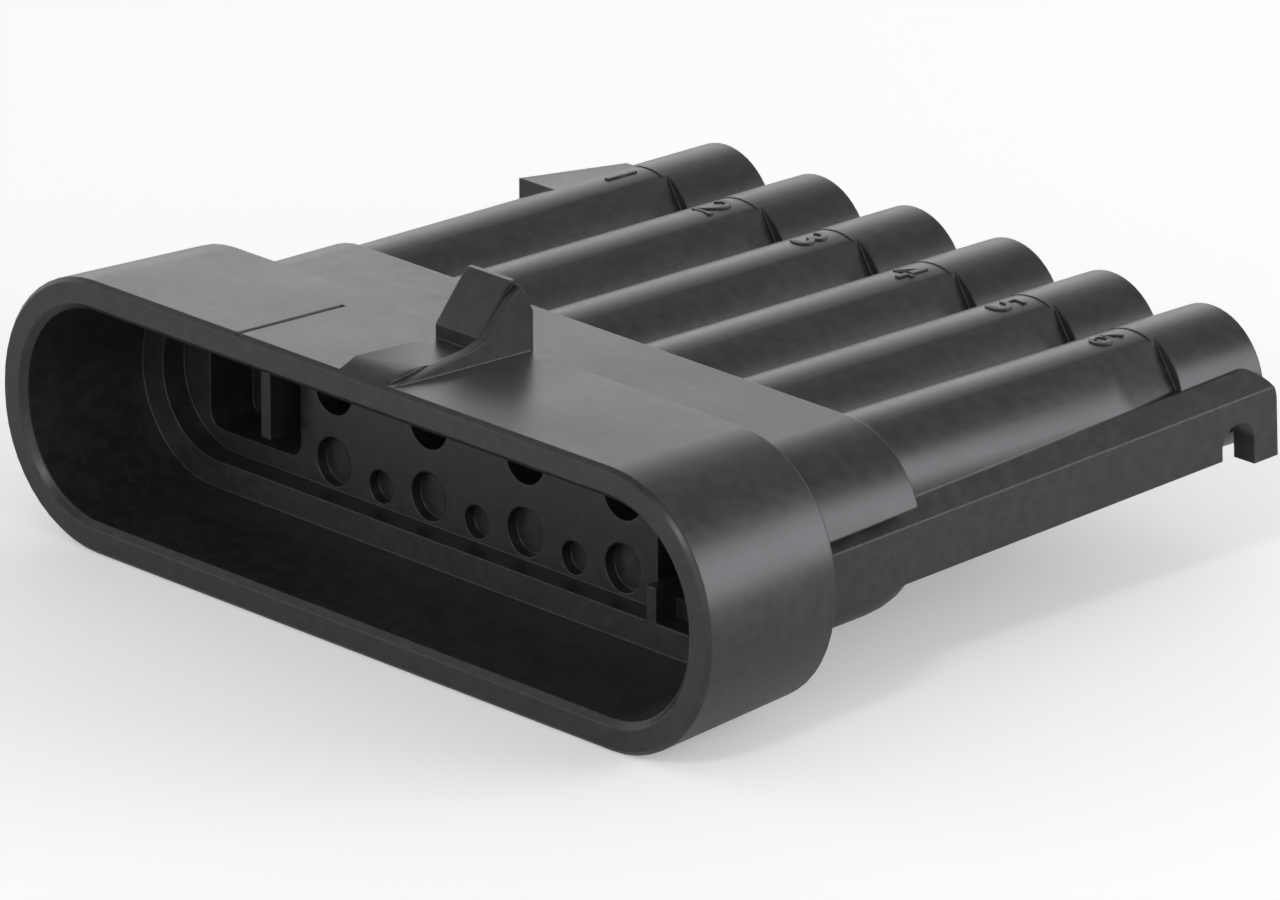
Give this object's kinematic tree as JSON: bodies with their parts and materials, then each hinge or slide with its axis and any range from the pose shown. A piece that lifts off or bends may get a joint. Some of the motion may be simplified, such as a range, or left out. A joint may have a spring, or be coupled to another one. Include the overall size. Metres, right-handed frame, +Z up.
{
  "type": "sealed wire connector shroud housing",
  "caption": "Black moulded shroud half of an in-line sealed wire connector, with a keyed oblong mouth, a ramped latch nib and a row of round cable tubes.",
  "frame": {"origin": "in the plane of the mating mouth, midway along the row, level with the axes of the cavities", "axes": "+X along the row of cavities, +Y from the mating mouth to the wire end, +Z up through the side that carries the latch nib"},
  "size_m": [0.0514, 0.042, 0.0177],
  "materials": {
    "housing": "as-moulded glass-filled nylon, black, fine satin grain"
  },
  "bodies": {
    "root": {"housing": "housing"}
  },
  "joints": []
}
